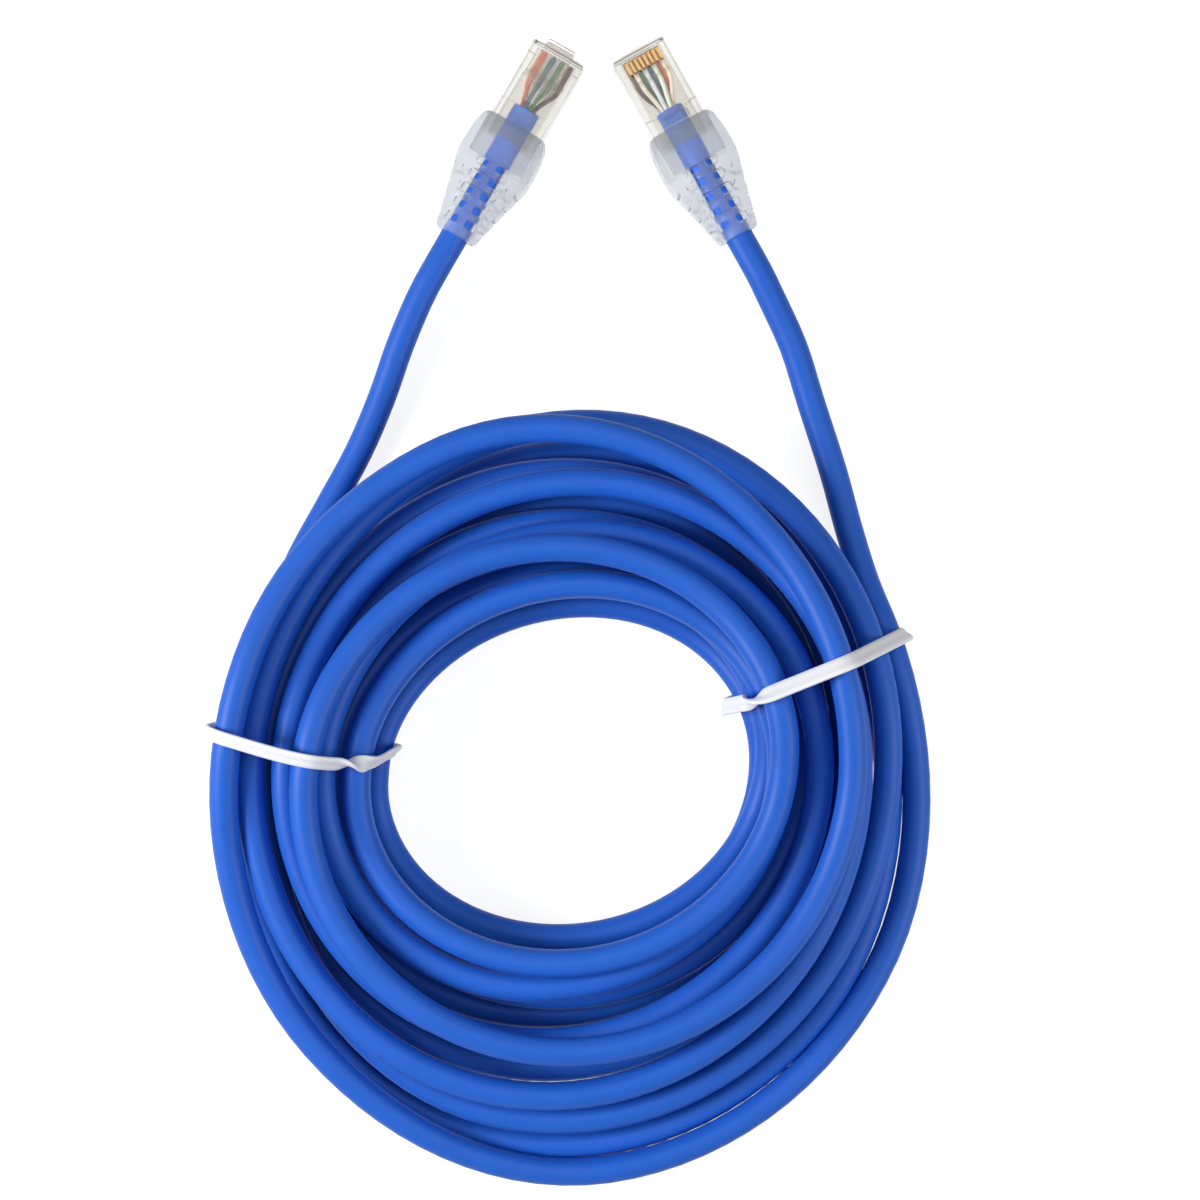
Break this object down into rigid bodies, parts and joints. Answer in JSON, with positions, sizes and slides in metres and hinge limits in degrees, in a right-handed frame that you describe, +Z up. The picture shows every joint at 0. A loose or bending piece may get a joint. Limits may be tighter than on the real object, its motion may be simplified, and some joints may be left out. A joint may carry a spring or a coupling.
{
  "type": "ethernet patch cable",
  "caption": "Blue round patch cable in a tied coil; each end has a clear modular plug with gold contacts, flexing latch and colour-coded wires, and a slotted clear boot.",
  "frame": {"origin": "below the middle of the outline of the whole coiled cable, on the surface it lies on", "axes": "+Z up from that surface, +Y from the coil towards the plugs along the longest side, +X to the right seen from above (the side of plug b, which lies with its contacts up)"},
  "size_m": [0.1475, 0.2335, 0.0301],
  "materials": {
    "jacket_blue": "satin royal blue flexible PVC",
    "tie_white": "soft white PVC tape",
    "tie_steel": "bare soft steel wire",
    "boot_clear": "clear, slightly milky soft PVC",
    "plug_clear": "clear polished polycarbonate",
    "guide_clear": "clear polycarbonate",
    "contact_gold": "gold-plated phosphor bronze",
    "copper": "bare stranded copper",
    "insulation_white_orange": "satin polyethylene insulation",
    "insulation_orange": "satin polyethylene insulation",
    "insulation_white_green": "satin polyethylene insulation",
    "insulation_blue": "satin polyethylene insulation",
    "insulation_white_blue": "satin polyethylene insulation",
    "insulation_green": "satin polyethylene insulation",
    "insulation_white_brown": "satin polyethylene insulation",
    "insulation_brown": "satin polyethylene insulation"
  },
  "bodies": {
    "cable": {"cable_coil": "jacket_blue", "cable_leg_a": "jacket_blue", "cable_leg_b": "jacket_blue", "twist_tie_left": "tie_white", "twist_tie_right": "tie_white", "tie_wire_left": "tie_steel", "tie_wire_right": "tie_steel", "jacket_end_a": "jacket_blue", "boot_a": "boot_clear", "plug_housing_a": "plug_clear", "contacts_a": "contact_gold", "wire_guide_a": "guide_clear", "conductors_a": "copper", "wire_white_orange_a": "insulation_white_orange", "wire_orange_a": "insulation_orange", "wire_white_green_a": "insulation_white_green", "wire_blue_a": "insulation_blue", "wire_white_blue_a": "insulation_white_blue", "wire_green_a": "insulation_green", "wire_white_brown_a": "insulation_white_brown", "wire_brown_a": "insulation_brown", "jacket_end_b": "jacket_blue", "boot_b": "boot_clear", "plug_housing_b": "plug_clear", "contacts_b": "contact_gold", "wire_guide_b": "guide_clear", "conductors_b": "copper", "wire_white_orange_b": "insulation_white_orange", "wire_orange_b": "insulation_orange", "wire_white_green_b": "insulation_white_green", "wire_blue_b": "insulation_blue", "wire_white_blue_b": "insulation_white_blue", "wire_green_b": "insulation_green", "wire_white_brown_b": "insulation_white_brown", "wire_brown_b": "insulation_brown"},
    "latch_a_arm": {"latch_a": "plug_clear"},
    "latch_b_arm": {"latch_b": "plug_clear"}
  },
  "joints": [
    {"name": "latch_a_flex", "type": "hinge", "parent": "cable", "child": "latch_a_arm", "pos_m": [-0.0021, 0.11432, 0.01005], "axis": [0.866, -0.5, 0], "range_deg": [0, 11], "stiffness_Nm_per_rad": 0.1},
    {"name": "latch_b_flex", "type": "hinge", "parent": "cable", "child": "latch_b_arm", "pos_m": [0.01301, 0.11472, 0.00395], "axis": [-0.8746, -0.4848, 0], "range_deg": [0, 11], "stiffness_Nm_per_rad": 0.1}
  ]
}
